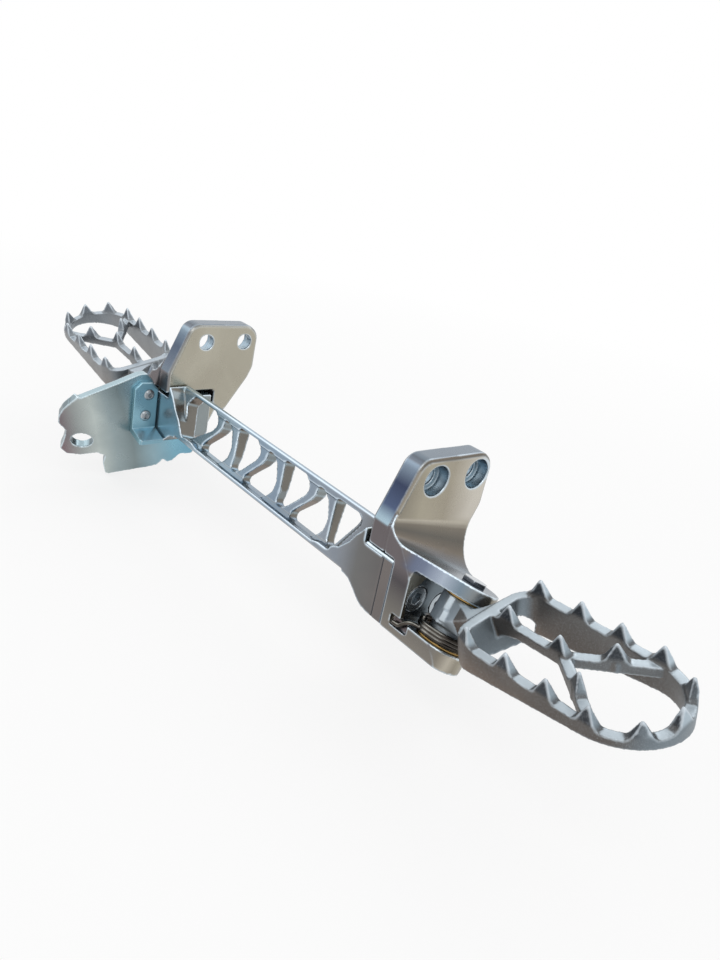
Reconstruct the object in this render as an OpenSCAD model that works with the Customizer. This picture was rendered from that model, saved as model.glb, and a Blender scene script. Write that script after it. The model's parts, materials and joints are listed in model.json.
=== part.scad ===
// Motorcycle footpeg bar: a truss crossbar between two frame brackets, each
// with a sprung folding footpeg, and a stand plate on the left.
// Units are millimetres. +X is the rider's right, +Y the front, +Z up.
// The origin is the centre of the right bracket's bolt pattern, on the face
// that sits against the frame.

/* [Frame fit] */
// distance between the inner faces of the two brackets
frame_span = 211; // [209:0.5:213]
// distance between the two frame bolts of a bracket
bolt_spacing = 30; // [28:0.5:32]
// diameter of the frame bolt holes
bolt_hole_d = 10.5; // [8.4:0.1:10.8]
// diameter of the recess for a frame bolt head
bolt_head_d = 16.5; // [16:0.1:17]
// depth of the recess for a frame bolt head
bolt_head_depth = 7.5; // [6:0.5:8.5]

/* [Bracket] */
// thickness of the upright part of a bracket
upright_t = 13.5; // [13:0.1:14]
// thickness of the wall behind the footpeg's hub
wall_t = 12.5; // [12:0.1:13]
// thickness of the lower ear
low_ear_t = 9.3; // [8:0.1:10]
// thickness of the upper ear
top_ear_t = 7.5; // [7:0.25:8]
// radius of the lower ear's end
low_ear_r = 15.4; // [15:0.1:16.5]
// radius of the upper ear's end
top_ear_r = 14; // [13.5:0.25:14.5]
// clear height between the ears, along the pin
ear_gap = 26; // [25.8:0.1:26.4]
// edge chamfer of the upright
upright_chamfer = 1.6; // [0.8:0.1:2]

/* [Crossbar] */
// thickness of the spacer and of the stand plate
spacer_t = 6.5; // [6:0.1:7]
// height of the crossbar's open face, along its slope
bar_floor_h = 34; // [33:0.5:35]
// corner radius of the lightening windows
window_r = 3; // [2:0.25:3.25]
// distance between two windows of the truss
window_pitch = 50; // [49.5:0.25:50.5]
// depth of the step that sets the truss back
truss_step_depth = 1; // [0.4:0.1:1.5]

/* [Hinge] */
// angle of the hinge pin above horizontal
pin_tilt = 65; // [64:0.5:66]
// diameter of the hinge pin
pin_d = 10; // [8:0.1:10.5]
// running clearance round the pin, on the radius
pin_clear = 0.05; // [0.03:0.01:0.09]
// outer diameter of the hinge bush
bush_d = 13; // [12.5:0.1:14]
// outer diameter of the footpeg's hub
hub_d = 21; // [20:0.25:21.5]
// thickness of the brass washers
washer_t = 1; // [0.6:0.1:1.1]
// wire diameter of the return spring
spring_wire = 2.3; // [1.8:0.1:2.4]
// turns of the return spring
spring_turns = 3; // [2:1:3]

/* [Footpeg] */
// width of the footpeg from front to rear
peg_w = 55; // [54:0.5:56]
// length of the footpeg's ring
peg_len = 101.5; // [99:0.25:104]
// thickness of the ring's rim
rim_t = 5; // [4.5:0.1:5.5]
// depth of the inner ribs
rib_depth = 5.25; // [4.5:0.25:7]
// height of the teeth
tooth_h = 9; // [6:0.25:9.5]
// width of a tooth's tip
tooth_tip = 1.2; // [0.8:0.1:1.6]

/* [Stand plate] */
// angle by which the stand plate's tail is bent outwards
plate_bend = 35; // [30:1:38]
// diameter of the stand's pivot hole
stand_hole_d = 14; // [10:0.25:15]
// thickness of the switch tab
tab_t = 3.5; // [3:0.1:4]

/* [Hidden] */
$fn = 40;
half_span = frame_span / 2;
x_out = half_span + upright_t;
x_joint = x_out + 0.5;
x_wall = x_joint + spacer_t;
x_floor = x_wall + wall_t;
x_pin = x_floor + 16.5;
rear_y = -41;
joint_top = -37.5;
joint_front = -7;
joint_low = -72.8;
notch_z = -35;
pin_y = -27;
pin_z = -69;
top_ear_end = ear_gap + top_ear_t;
hub_lo = 9.3;
hub_hi = ear_gap - washer_t - 0.3;
neck_lo = washer_t + 0.3;
neck_d = 17;
hub_turn = 18;
ear_relief = 4.4;
joint_bolt_d = 8;
joint_clear = 0.3;
joint_head_d = 13;
joint_head_h = 8;
joint_bolts = [[-32.2, -52.5], [-14.2, -60.6]];
half_w = peg_w / 2;
nose_x = peg_len - half_w;
corner_r = half_w - 13.5;
peg_at = [x_pin + 18.9, -24.1, -38];
big = 200;
bend_line = 128.66;
bend_r = 12.5;
bend_run = bend_r * tan(plate_bend / 2);
spring_r = 13.4;
leg_drop = 3.4;
pin_head_h = 2.2;
bar_top = -29.3;

// Moves a piece from the bar's middle plane to the origin of the part.
module at_origin() {
  translate([-half_span, 0, 0]) children();
}

// Draws a piece of the left side as the mirror image of the right one.
module left_side() {
  mirror([1, 0, 0]) children();
}

// Stands a side view outline up, from x0 over a thickness t.
module side_slab(x0, t) {
  translate([x0, 0, 0]) rotate([90, 0, 90]) linear_extrude(t) children();
}

// Stands a rear view outline up, from y0 forwards over a thickness t.
module rear_slab(y0, t) {
  translate([0, y0 + t, 0]) rotate([90, 0, 0]) linear_extrude(t) children();
}

// Places a piece in the hinge's frame: x outwards, y along the pin, z rearwards.
module hinge_frame() {
  translate([x_pin, pin_y, pin_z]) rotate([pin_tilt, 0, 0]) children();
}

// A slab across the pin, from height w0 to height w1 on the pin.
module pin_slab(w0, w1) {
  translate([0, w1, 0]) rotate([90, 0, 0]) linear_extrude(w1 - w0) children();
}

// A round piece on the pin's axis, from height w0 to height w1.
module pin_round(w0, w1, d) {
  translate([0, w0, 0]) rotate([-90, 0, 0]) cylinder(h = w1 - w0, d = d);
}

// Point where a straight side from p touches a circle of radius r at the axis.
function touch(p, r, side) =
  let (a = atan2(p[1], p[0]) + side * acos(r / norm(p))) [r * cos(a), r * sin(a)];

// Plan view of an ear: a round end with two straight sides that touch it.
module ear_plan(r, x_in, front, rear) {
  circle(r = r);
  polygon([[x_in, front], touch([x_in, front], r, 1), [0, 0],
    touch([x_in + 5, rear], r, -1), [x_in + 5, rear], [x_in, rear]]);
}

// Outline of the crossbar's end, seen from the side.
module joint_outline() {
  polygon([[rear_y, joint_top], [joint_front, joint_top], [joint_front, -66],
    [joint_front - 6, joint_low], [rear_y + 0.7, joint_low], [rear_y, joint_low + 0.7]]);
}

// Holes for the two screws that join bracket, spacer and crossbar.
module joint_holes(x0, x1, d) {
  for (p = joint_bolts)
    translate([x0, p[0], p[1]]) rotate([0, 90, 0]) cylinder(h = x1 - x0, d = d);
}

// Side view of the upright: the part above the joint, or the toe in front of it.
module upright_outline(toe) {
  intersection() {
    offset(r = 9, $fn = 80) offset(delta = -9) polygon([[-26.6, 12.5], [18.8, 11.6],
      [26.1, 5.8], [25.5, -19], [22, -27], [2, -56.5], [rear_y, -56.5], [rear_y, -20.9]]);
    if (toe) polygon([[-6, 0], [40, 0], [40, -50.5], [0, -50.5], [-6, -44]]);
    else translate([-60, notch_z]) square([100, 60]);
  }
}

// Upright with chamfered edges.
module upright() {
  c = upright_chamfer;
  for (toe = [true, false]) hull() {
    side_slab(half_span, upright_t) offset(delta = -c) upright_outline(toe);
    side_slab(half_span + c, upright_t - 2 * c) upright_outline(toe);
  }
}

// Corner between upright and upper ear, hollowed by a cone that touches both.
module sweep() {
  s = 0.273;
  c = sqrt(1 - 2 * s * s);
  k = s / c;
  top = 70.5;
  x0 = x_out - x_pin;
  lo = top + 30;
  hi = top - 40;
  points = [[x0, top_ear_end, -30], [x0 + k * lo, top_ear_end, -30],
    [x0, top_ear_end + k * lo, -30], [x0, top_ear_end, 40],
    [x0 + k * hi, top_ear_end, 40], [x0, top_ear_end + k * hi, 40]];
  difference() {
    polyhedron(points, [[0, 1, 2], [3, 5, 4], [0, 3, 4, 1], [0, 2, 5, 3], [1, 4, 5, 2]]);
    translate([x0, top_ear_end, top]) rotate([0, 0, 45]) rotate([0, 180 - acos(c), 0])
      cylinder(h = 125, r1 = 0, r2 = 125 * s / sqrt(1 - s * s), $fn = 96);
  }
}

// Keeps a piece of the hinge frame between the bracket's front and rear sides.
module bracket_sides() {
  intersection() {
    children();
    pin_slab(-20, 80) polygon([[x_out - x_pin - 20, -26], [x_out - x_pin, -25],
      touch([x_out - x_pin, -25], top_ear_r, 1), [top_ear_r + 15, -14],
      [top_ear_r + 15, 0], touch([-31, 33.4], top_ear_r, -1), [-31, 33.4],
      [x_out - x_pin - 20, 33.4]]);
  }
}

module bracket() {
  x_in = x_out - x_pin;
  difference() {
    union() {
      upright();
      hinge_frame() {
        pin_slab(ear_gap, top_ear_end) ear_plan(top_ear_r, x_in, -25, 33.4);
        pin_slab(-low_ear_t, 0) ear_plan(low_ear_r, x_in, -20, 24);
        pin_slab(-low_ear_t, ear_gap + 1) polygon([[x_in, -25],
          [x_floor - x_pin, -18], [x_floor - x_pin, 25.1], [x_in + 5, 33.4], [x_in, 33.4]]);
        bracket_sides() sweep();
      }
    }
    translate([0, rear_y - big, -big]) cube([big * 2, big, big * 2]);
    side_slab(x_out - 20, x_wall - x_out + 20) joint_space();
    for (y = [-bolt_spacing / 2, bolt_spacing / 2]) translate([half_span - 1, y, 0]) {
      rotate([0, 90, 0]) cylinder(h = upright_t + 30, d = bolt_hole_d);
      translate([upright_t + 1 - bolt_head_depth, 0, 0]) rotate([0, 90, 0])
        cylinder(h = 40, d = bolt_head_d);
    }
    joint_holes(x_joint, x_floor + 1, joint_bolt_d + 2 * joint_clear);
    joint_holes(x_floor - joint_head_h - 0.4, x_floor + 2, joint_head_d + 0.7);
    hinge_frame() {
      pin_round(-low_ear_t - 1, top_ear_end + 1, pin_d + 2 * pin_clear);
      translate([x_wall - x_pin + 6, -leg_drop - spring_wire / 2 - 0.6, 11.5])
        cube([12, leg_drop + spring_wire / 2 + 1, 20]);
    }
  }
}

// Room that the bracket leaves for the crossbar's end and the spacer.
module joint_space() {
  polygon([[rear_y - 20, notch_z], [joint_front + 2, notch_z], [joint_front + 2, -90],
    [rear_y - 20, -90]]);
}

module right_bracket() {
  color([0.78, 0.78, 0.76]) at_origin() bracket();
}

module left_bracket() {
  color([0.78, 0.78, 0.76]) at_origin() left_side() bracket();
}

// Outline of the crossbar seen from behind, right half.
module bar_half() {
  polygon([[-1, bar_top], [half_span - 1.8, bar_top], [half_span - 1.8, joint_top],
    [x_joint, joint_top], [x_joint, joint_low], [half_span + 10.5, joint_low + 0.3],
    [half_span + 5.2, joint_low + 1.1], [half_span + 1.6, joint_low + 2.8],
    [half_span - 4.6, -64.9], [half_span - 8.6, -62.1], [half_span - 13, -61.5],
    [-1, -61.5]]);
}

// Cross section of the crossbar between its ends, before the pocket is cut.
module bar_section() {
  polygon([[rear_y, bar_top], [-26.5, bar_top], [-21, bar_top - 4.5], [-20.5, -37.5],
    [-30.5, -60], [-32, -61.5], [rear_y + 2, -61.5], [rear_y, -59.5]]);
}

// Places a shape on the crossbar's sloping open face: x along, y up the face.
module bar_face() {
  translate([0, -30.06, -33.94]) rotate([90 - 16.7, 0, 0]) children();
}

// Half of the pocket that opens the crossbar's rear side.
module pocket_half() {
  offset(r = 4) offset(delta = -4) polygon([[-5, 20], [half_span - 2, 20],
    [half_span - 2.7, 1], [half_span - 8, -4.5], [half_span - 12.5, -11],
    [half_span - 20, -18], [half_span - 28, -21.5], [half_span - 42, 8.5 - bar_floor_h],
    [-5, 8.5 - bar_floor_h]]);
}

// One lightening window with rounded corners.
module window(corners) {
  offset(r = window_r) offset(delta = -window_r) polygon(corners);
}

// The truss: windows with the point up and with the point down in turn, and
// one more at each end that ends at the pocket's edge.
module bar_windows() {
  for (i = [-1:1]) translate([i * window_pitch, 0])
    window([[-1.5, 1.2], [4, 1.2], [9.5, -3], [14.6, -12], [14.6, -18.5], [9.5, -25.2],
      [-15.2, -25.2], [-13.8, -21], [-3.2, -9], [-1.2, -5]]);
  for (i = [0:1]) translate([(i - 0.5) * window_pitch, 0])
    window([[-10, 2.6], [12.5, 2.6], [17.6, -4], [16, -8.5], [6, -20], [1, -23.2],
      [-4.2, -23.2], [-4.6, -15]]);
  window([[64.6, 1.7], [87.8, 1.7], [85.5, -5], [76.5, -21], [73.5, -24.3], [70.8, -24.3],
    [67, -9]]);
  window([[-89, 2.2], [-61.5, 2.2], [-56.6, -5], [-60, -10.5], [-77.5, -23], [-80, -25],
    [-82, -25], [-94.6, -5]]);
}

// Shallow step that sets the truss back from the two flanges.
module truss_step() {
  offset(r = window_r) offset(delta = -window_r) polygon([[-93, 0.6], [91, 0.6], [78, -24],
    [-80, -24]]);
}

module crossbar() {
  color([0.76, 0.75, 0.73]) at_origin() difference() {
    intersection() {
      rear_slab(rear_y, joint_front - rear_y) {
        bar_half();
        mirror([1, 0]) bar_half();
      }
      union() {
        side_slab(-half_span - 3, frame_span + 6) bar_section();
        for (m = [0, 1]) mirror([m, 0, 0]) side_slab(half_span - 14, 15)
          polygon([[rear_y, -58], [-31.5, -58], [-31.5, -61], [-33, -68], [rear_y, -68]]);
        for (m = [0, 1]) mirror([m, 0, 0])
          side_slab(half_span - 1, x_joint - half_span + 1) {
            joint_outline();
            translate([rear_y, bar_top - 8]) square([10, 8]);
          }
      }
    }
    bar_face() {
      linear_extrude(30) {
        pocket_half();
        mirror([1, 0]) pocket_half();
      }
      translate([0, 0, -30]) linear_extrude(40) bar_windows();
      translate([0, 0, -truss_step_depth]) linear_extrude(20) truss_step();
    }
    for (m = [0, 1]) mirror([m, 0, 0])
      joint_holes(x_joint - 14, x_joint + 1, joint_bolt_d + 0.1);
  }
}

module right_spacer() {
  color([0.8, 0.8, 0.79]) at_origin() difference() {
    side_slab(x_joint, spacer_t) joint_outline();
    joint_holes(x_joint - 1, x_wall + 1, joint_bolt_d + 2 * joint_clear);
  }
}

// Places a shape on the stand plate: x along the bend, y towards the tail.
module plate_frame() {
  translate([-x_joint, -97, -43]) rotate([0, -90, 0]) rotate([0, 0, bend_line]) children();
}

// Outline of the stand plate's tail, measured from the bend line.
module tail_outline() {
  offset(r = -1.5) offset(r = 3) offset(r = -1.5)
    polygon([[-2.4, bend_run], [-1, 11], [2, 17.5], [6.5, 22.5], [15.3, 24.2],
      [22, 33.5], [25.7, 39.8], [32.4, 40.5], [39.5, 34.4], [44.8, 24.7], [50.7, 22.8],
      [55.6, 29.5], [64.8, 35.7], [67, 34.5], [81, bend_run]]);
}

module stand_plate() {
  color([0.72, 0.74, 0.78]) at_origin() difference() {
    union() {
      difference() {
        side_slab(-x_wall, spacer_t) offset(r = -1.5) offset(r = 3) offset(r = -1.5)
          polygon([[-98.9, -41.5], [-68.5, -30.9], [-54.8, -25.7], [-49.5, -25.2],
            [-45, -29.4], [-41.5, -36.5], [-38, joint_top], [-13, joint_top], [-9, -42],
            [-7.5, -60], [-7, -86], [-9, -88.5], [-18.2, -88], [-24.3, -92.8], [-33.8, -93.6],
            [-46, -93.6], [-102, -50]]);
        plate_frame() translate([-50, -bend_run, -5]) cube([200, 100, 20]);
      }
      plate_frame() translate([-2.4, -bend_run, bend_r]) rotate([90, 0, 90])
        linear_extrude(83.4) difference() {
          intersection() {
            circle(r = bend_r);
            polygon([[0, 0], [0, -40], [40 * sin(plate_bend), -40],
              [40 * sin(plate_bend), -40 * cos(plate_bend)]]);
          }
          circle(r = bend_r - spacer_t);
        }
      plate_frame() rotate([plate_bend, 0, 0]) linear_extrude(spacer_t) tail_outline();
    }
    plate_frame() rotate([plate_bend, 0, 0]) translate([28.8, 23.3, -1])
      cylinder(h = spacer_t + 2, d = stand_hole_d);
    mirror([1, 0, 0]) joint_holes(x_joint - 1, x_wall + 1, joint_bolt_d + 2 * joint_clear);
    for (p = [[-48.6, -39.1], [-50.1, -54]]) translate([-x_wall - 1, p[0], p[1]])
      rotate([0, 90, 0]) cylinder(h = spacer_t + 2, d = 4.1);
  }
}

module switch_tab() {
  color([0.75, 0.75, 0.78]) at_origin() difference() {
    union() {
      side_slab(-x_joint, tab_t) polygon([[-59, -64], [-59, -35], [-54, -30.5],
        [-46, -31], [-42, -35.5], [-42, -64]]);
      rear_slab(-59, 17) polygon([[-x_joint, -63], [-x_joint + tab_t, -63],
        [-x_joint + 17, -67], [-x_joint + 16, -70.4], [-x_joint, -66.5]]);
    }
    for (p = [[-48.6, -39.1], [-50.1, -54]]) translate([-x_joint - 1, p[0], p[1]])
      rotate([0, 90, 0]) cylinder(h = tab_t + 2, d = 4.1);
    translate([-x_joint + 11, -64, -80]) rotate([0, 0, -40]) cube([20, 8, 40]);
  }
}

module switch_screws() {
  color([0.7, 0.7, 0.72]) at_origin()
    for (p = [[-48.6, -39.1], [-50.1, -54]]) translate([-x_joint + tab_t, p[0], p[1]])
      rotate([0, 90, 0]) difference() {
        union() {
          translate([0, 0, -tab_t - spacer_t + 0.5]) cylinder(h = tab_t + spacer_t, d = 4);
          intersection() {
            cylinder(h = 2.2, d = 7.6);
            translate([0, 0, -2.2]) sphere(r = 4.7);
          }
        }
        translate([0, 0, 0.8]) cylinder(h = 3, d = 2.9, $fn = 6);
      }
}

// Places a shape in the footpeg's own frame: x outwards, z up from its top face.
module peg_frame() {
  translate(peg_at) rotate([14.3, 0, 0]) rotate([0, -5.6, 0]) children();
}

// Outline of the footpeg's ring, drawn in from its outer edge by the given inset.
module ring_outline(inset) {
  translate([nose_x, 0]) circle(r = half_w - inset);
  for (s = [-1, 1]) translate([corner_r, s * (half_w - corner_r)]) circle(r = corner_r - inset);
  translate([corner_r, inset - half_w]) square([nose_x - corner_r, peg_w - 2 * inset]);
  translate([inset, corner_r - half_w]) square([nose_x, peg_w - 2 * corner_r]);
}

// A rib of the footpeg in plan, from a to b.
module rib_plan(a, b) {
  d = b - a;
  translate(a) rotate([0, 0, atan2(d[1], d[0])]) translate([0, -rim_t / 2])
    square([norm(d), rim_t]);
}

module ribs() {
  rib_plan([2, 0], [45, 0]);
  for (s = [-1, 1]) {
    rib_plan([44, 0], [61, 12.5 * s]);
    rib_plan([61, 12.5 * s], [77, 24.3 * s]);
  }
  translate([44, 0]) circle(d = rim_t + 0.8);
  for (s = [-1, 1]) translate([61, 12.5 * s]) circle(d = rim_t + 0.8);
}

// One tooth with its long side turned by a.
module tooth(at, a) {
  t = tooth_tip / 2;
  b = rim_t / 2 - 0.05;
  translate([at[0], at[1], 0]) rotate([0, 0, a]) intersection() {
    translate([0, rim_t, 0]) rotate([90, 0, 0]) linear_extrude(rim_t * 2)
      polygon([[-6.2, -0.5], [-6.2, 0], [-4.4, 0.16 * tooth_h], [-1.05, tooth_h - 1.1],
        [-0.45, tooth_h - 0.2], [0, tooth_h], [0.45, tooth_h - 0.2], [1.05, tooth_h - 1.1],
        [4.4, 0.16 * tooth_h], [6.2, 0], [6.2, -0.5]]);
    rotate([90, 0, 90]) linear_extrude(14, center = true)
      polygon([[-b, -0.5], [-b, 0.12 * tooth_h], [-t, tooth_h], [t, tooth_h],
        [b, 0.12 * tooth_h], [b, -0.5]]);
  }
}

module teeth() {
  e = half_w - rim_t / 2;
  intersection() {
    union() {
      for (s = [-1, 1]) {
        tooth([10.5, s * (e - 0.6)], s * 16);
        for (x = [33.5, 54.5, 75]) tooth([x, s * e], 0);
        tooth([nose_x + e * cos(42) + 0.6, s * (e * sin(42) + 0.3)], 90 + s * 42);
      }
      tooth([nose_x + e, 0], 90);
    }
    translate([0, 0, -1]) linear_extrude(tooth_h + 2) difference() {
      ring_outline(0.05);
      ring_outline(rim_t - 0.05);
    }
  }
  for (s = [-1, 1]) tooth([61, s * 12.5], s * 36.5);
  tooth([13.2, 0], 0);
  tooth([41.6, 0], 0);
}

module peg() {
  difference() {
    union() {
      difference() {
        peg_frame() {
          difference() {
            translate([0, 0, -24]) linear_extrude(24) difference() {
              ring_outline(0);
              ring_outline(rim_t);
            }
            translate([0, 40, 0]) rotate([90, 0, 0]) linear_extrude(80)
              polygon([[-5, -3], [0, -3], [2, -8], [10, -15], [10, -26], [-5, -26]]);
          }
          translate([0, 13, 0]) rotate([90, 0, 0]) linear_extrude(34)
            polygon([[4, -2], [5.2, -2], [13, -21], [5, -21], [3, -12]]);
          translate([0, 0, -rib_depth]) linear_extrude(rib_depth) ribs();
          difference() {
            translate([3, -rim_t / 2, -20]) cube([16, rim_t, 20]);
            translate([20, 0, -21]) rotate([90, 0, 0]) cylinder(h = 20, r = 15, center = true);
          }
          teeth();
        }
        peg_frame() rotate([0, -7.2, 0]) translate([0, 0, -19.2]) rotate([-9.5, 0, 0])
          translate([-big, -big, -big]) cube([big * 2, big * 2, big]);
      }
      hull() {
        hinge_frame() translate([-1, hub_lo, -9]) cube([5, hub_hi - hub_lo, 18]);
        peg_frame() translate([-0.4, -12, -15.2]) cube([2, 24, 14.4]);
      }
      hinge_frame() {
        intersection() {
          pin_round(hub_lo, hub_hi, hub_d + 1.3);
          rotate([0, hub_turn, 0]) pin_slab(hub_lo, hub_hi) rotate([0, 0, 22.5])
            circle(d = hub_d / cos(22.5), $fn = 8);
        }
        rotate([0, hub_turn, 0]) translate([-3.6, hub_lo + 2, hub_d / 2 - 1])
          cube([7.2, 5.5, 1.8]);
        pin_round(neck_lo, hub_lo, neck_d);
      }
    }
    hinge_frame() {
      pin_round(-20, hub_hi + 20, bush_d + 0.04);
      difference() {
        union() {
          pin_round(hub_hi, hub_hi + 25, 2 * (top_ear_r + ear_relief));
          pin_round(-18, hub_lo, 2 * (low_ear_r + 1.4));
        }
        pin_round(-20, hub_lo + 1, neck_d);
      }
    }
  }
}

module right_peg() {
  color([0.82, 0.82, 0.82]) at_origin() peg();
}

module left_peg() {
  color([0.82, 0.82, 0.82]) at_origin() left_side() peg();
}

module bush() {
  hinge_frame() difference() {
    pin_round(neck_lo, hub_hi, bush_d);
    pin_round(0, ear_gap, pin_d + 2 * pin_clear);
  }
}

module right_bush() {
  color([0.7, 0.55, 0.25]) at_origin() bush();
}

module left_bush() {
  color([0.7, 0.55, 0.25]) at_origin() left_side() bush();
}

module pin() {
  hinge_frame() {
    pin_round(-low_ear_t, top_ear_end + 1, pin_d);
    translate([0, top_ear_end, 0]) rotate([-90, 0, 0]) difference() {
      cylinder(h = pin_head_h, d = 13.5, $fn = 6);
      translate([0, 0, pin_head_h - 1]) difference() {
        cylinder(h = 9, d = 30);
        cylinder(h = 9, r1 = 6.9, r2 = 0.4);
      }
    }
  }
}

module right_pin() {
  color([0.6, 0.6, 0.62]) at_origin() pin();
}

module left_pin() {
  color([0.6, 0.6, 0.62]) at_origin() left_side() pin();
}

module hinge_washer(w0, d) {
  hinge_frame() difference() {
    pin_round(w0, w0 + washer_t, d);
    pin_round(w0 - 1, w0 + washer_t + 1, pin_d + 0.3);
  }
}

module right_top_washer() {
  color([0.83, 0.66, 0.25]) at_origin() hinge_washer(ear_gap - washer_t, 24);
}

module right_bottom_washer() {
  color([0.83, 0.66, 0.25]) at_origin() hinge_washer(0, 26);
}

module left_top_washer() {
  color([0.83, 0.66, 0.25]) at_origin() left_side() hinge_washer(ear_gap - washer_t, 24);
}

module left_bottom_washer() {
  color([0.83, 0.66, 0.25]) at_origin() left_side() hinge_washer(0, 26);
}

// Path of the spring wire: a leg into the bracket, the coil, a leg at the hub.
function coil_point(i, n) =
  let (a = 120 - 360 * spring_turns * i / n, rise = washer_t + spring_wire / 2 + 0.2)
  [spring_r * cos(a), rise + (hub_lo - rise - spring_wire / 2 - 0.4) * i / n,
    spring_r * sin(a)];

function spring_path(n) = concat(
  [[x_wall - x_pin + 7.6, 0.1 - leg_drop, 13.4], [x_wall - x_pin + 11.6, 0.4 - leg_drop, 13.4],
    [x_wall - x_pin + 13, 1.2 - leg_drop, 13.4], [x_wall - x_pin + 15, 0.2, 13.4],
    [x_wall - x_pin + 18.6, washer_t + spring_wire / 2 - 0.1, 13.4]],
  [for (i = [0:n]) coil_point(i, n)]);

// Wire of round section swept along the spring's path.
module spring_wire_body() {
  sides = 10;
  path = spring_path(spring_turns * 28);
  last = len(path) - 1;
  points = [for (i = [0:last])
    let (t = path[min(i + 1, last)] - path[max(i - 1, 0)], u = t / norm(t),
      side = cross(u, [0, 1, 0]), e = side / norm(side), f = cross(e, u))
    for (j = [0:sides - 1])
      path[i] + spring_wire / 2 * (cos(360 * j / sides) * e + sin(360 * j / sides) * f)];
  skin = [for (i = [0:last - 1]) for (j = [0:sides - 1])
    let (k = (j + 1) % sides)
    [i * sides + j, i * sides + k, (i + 1) * sides + k, (i + 1) * sides + j]];
  polyhedron(points, concat([[for (j = [sides - 1:-1:0]) j]], skin,
    [[for (j = [0:sides - 1]) last * sides + j]]));
}

module right_spring() {
  color([0.35, 0.34, 0.33]) at_origin() hinge_frame() spring_wire_body();
}

module left_spring() {
  color([0.35, 0.34, 0.33]) at_origin() left_side() hinge_frame() spring_wire_body();
}

module joint_screws() {
  for (p = joint_bolts) translate([x_floor, p[0], p[1]]) rotate([0, -90, 0]) difference() {
    union() {
      cylinder(h = joint_head_h, d = joint_head_d);
      cylinder(h = x_floor - x_joint + 13.3, d = joint_bolt_d);
    }
    translate([0, 0, -1]) cylinder(h = 5, d = 6.9, $fn = 6);
  }
}

module right_joint_screws() {
  color([0.7, 0.7, 0.72]) at_origin() joint_screws();
}

module left_joint_screws() {
  color([0.7, 0.7, 0.72]) at_origin() left_side() joint_screws();
}

crossbar();
right_bracket();
left_bracket();
right_spacer();
stand_plate();
switch_tab();
switch_screws();
right_peg();
left_peg();
right_bush();
left_bush();
right_pin();
left_pin();
right_spring();
left_spring();
right_top_washer();
right_bottom_washer();
left_top_washer();
left_bottom_washer();
right_joint_screws();
left_joint_screws();
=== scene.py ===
"""Looks of a sprung footpeg bar: two machined brackets, a truss bar and folding pegs.

Everything is built in metres in the frame's own axes: +X is the rider's right, +Y the
front and +Z up. Each sub-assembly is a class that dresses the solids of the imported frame,
and says where its own sizes are in millimetres.
"""

import json
import logging
import math
from collections.abc import Callable
from dataclasses import dataclass
from enum import Enum

import bmesh
import bpy
import numpy as np
from mathutils import Matrix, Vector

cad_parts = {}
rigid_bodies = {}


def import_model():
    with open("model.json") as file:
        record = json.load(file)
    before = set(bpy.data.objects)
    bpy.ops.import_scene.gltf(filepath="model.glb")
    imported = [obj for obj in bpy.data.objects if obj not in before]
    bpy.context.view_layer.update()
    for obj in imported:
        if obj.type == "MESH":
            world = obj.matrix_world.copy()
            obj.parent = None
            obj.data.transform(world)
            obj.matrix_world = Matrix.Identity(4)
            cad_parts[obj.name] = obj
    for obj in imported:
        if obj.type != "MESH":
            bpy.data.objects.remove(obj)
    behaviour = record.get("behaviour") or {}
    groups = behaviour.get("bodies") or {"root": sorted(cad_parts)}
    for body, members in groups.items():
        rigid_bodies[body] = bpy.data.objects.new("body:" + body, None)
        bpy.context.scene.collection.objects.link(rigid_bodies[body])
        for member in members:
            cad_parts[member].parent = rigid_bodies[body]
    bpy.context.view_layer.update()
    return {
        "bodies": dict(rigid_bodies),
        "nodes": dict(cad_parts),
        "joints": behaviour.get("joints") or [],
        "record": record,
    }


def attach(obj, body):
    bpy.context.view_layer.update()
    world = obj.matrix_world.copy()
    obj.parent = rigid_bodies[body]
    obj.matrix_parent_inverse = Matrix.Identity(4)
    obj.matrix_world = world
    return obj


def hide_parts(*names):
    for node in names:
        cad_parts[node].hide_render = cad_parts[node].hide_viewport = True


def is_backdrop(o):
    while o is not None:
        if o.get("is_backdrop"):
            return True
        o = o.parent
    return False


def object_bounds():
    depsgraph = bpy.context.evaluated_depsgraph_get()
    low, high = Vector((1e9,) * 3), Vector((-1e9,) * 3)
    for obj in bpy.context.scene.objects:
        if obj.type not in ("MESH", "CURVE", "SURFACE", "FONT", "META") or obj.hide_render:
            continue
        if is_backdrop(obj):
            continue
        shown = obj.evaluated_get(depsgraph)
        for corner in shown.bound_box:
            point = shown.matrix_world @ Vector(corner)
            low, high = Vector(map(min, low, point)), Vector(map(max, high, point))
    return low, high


MM = 0.001
LOG = logging.getLogger("footpeg_bar")


class Part(str, Enum):
    """The bodies of the frame that a piece can ride on."""

    FRAME = "frame_bar"
    RIGHT = "right_footpeg"
    LEFT = "left_footpeg"


class Slot(str, Enum):
    """The record's material slots."""

    ALUMINIUM = "machined_aluminium"
    ZINC = "zinc_steel"
    SCREW = "screw_steel"
    BLASTED = "blasted_steel"
    BRASS = "brass"
    SPRING = "spring_steel"


def linear(red: int, green: int, blue: int) -> tuple[float, float, float]:
    """Turns a screen colour into the linear colour that a shader takes.

    Args:
        red: Red from 0 to 255.
        green: Green from 0 to 255.
        blue: Blue from 0 to 255.

    Returns:
        The same colour as linear values from 0 to 1.
    """
    parts = np.array([red, green, blue]) / 255
    low, high = parts / 12.92, ((parts + 0.055) / 1.055) ** 2.4
    return tuple(float(v) for v in np.where(parts <= 0.04045, low, high))


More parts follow.
